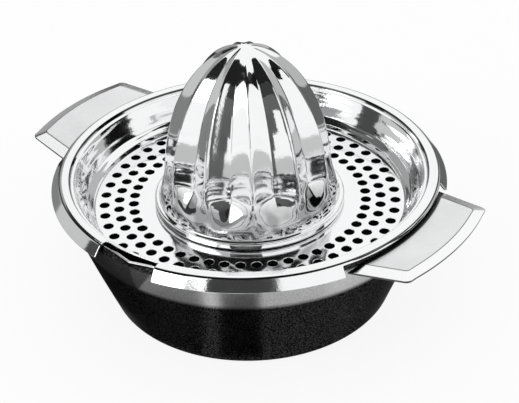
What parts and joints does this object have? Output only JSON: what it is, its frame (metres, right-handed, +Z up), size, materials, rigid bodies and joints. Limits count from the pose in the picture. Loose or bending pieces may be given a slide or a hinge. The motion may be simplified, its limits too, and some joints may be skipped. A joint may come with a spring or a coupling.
{
  "type": "hand citrus juicer",
  "caption": "Steel hand citrus juicer: bowl with pouring lip and side handles, and a lift-off perforated strainer with a fluted reamer cone.",
  "frame": {"origin": "centre of the bowl's flat base, on the surface that the juicer stands on", "axes": "+Z up along the cone, X along both handles, -Y towards the pouring lip"},
  "size_m": [0.1896, 0.1552, 0.1064],
  "materials": {
    "bowl_steel": "dark satin",
    "handle_steel": "satin",
    "strainer_steel": "polished",
    "reamer_steel": "mirror polished"
  },
  "bodies": {
    "base": {"bowl": "bowl_steel", "handle_left": "handle_steel", "handle_right": "handle_steel"},
    "strainer": {"strainer_dish": "strainer_steel", "reamer_cone": "reamer_steel"}
  },
  "joints": [
    {"name": "strainer_lift", "type": "slide", "parent": "base", "child": "strainer", "axis": [0, 0, 1], "range_m": [0, 0.12]}
  ]
}
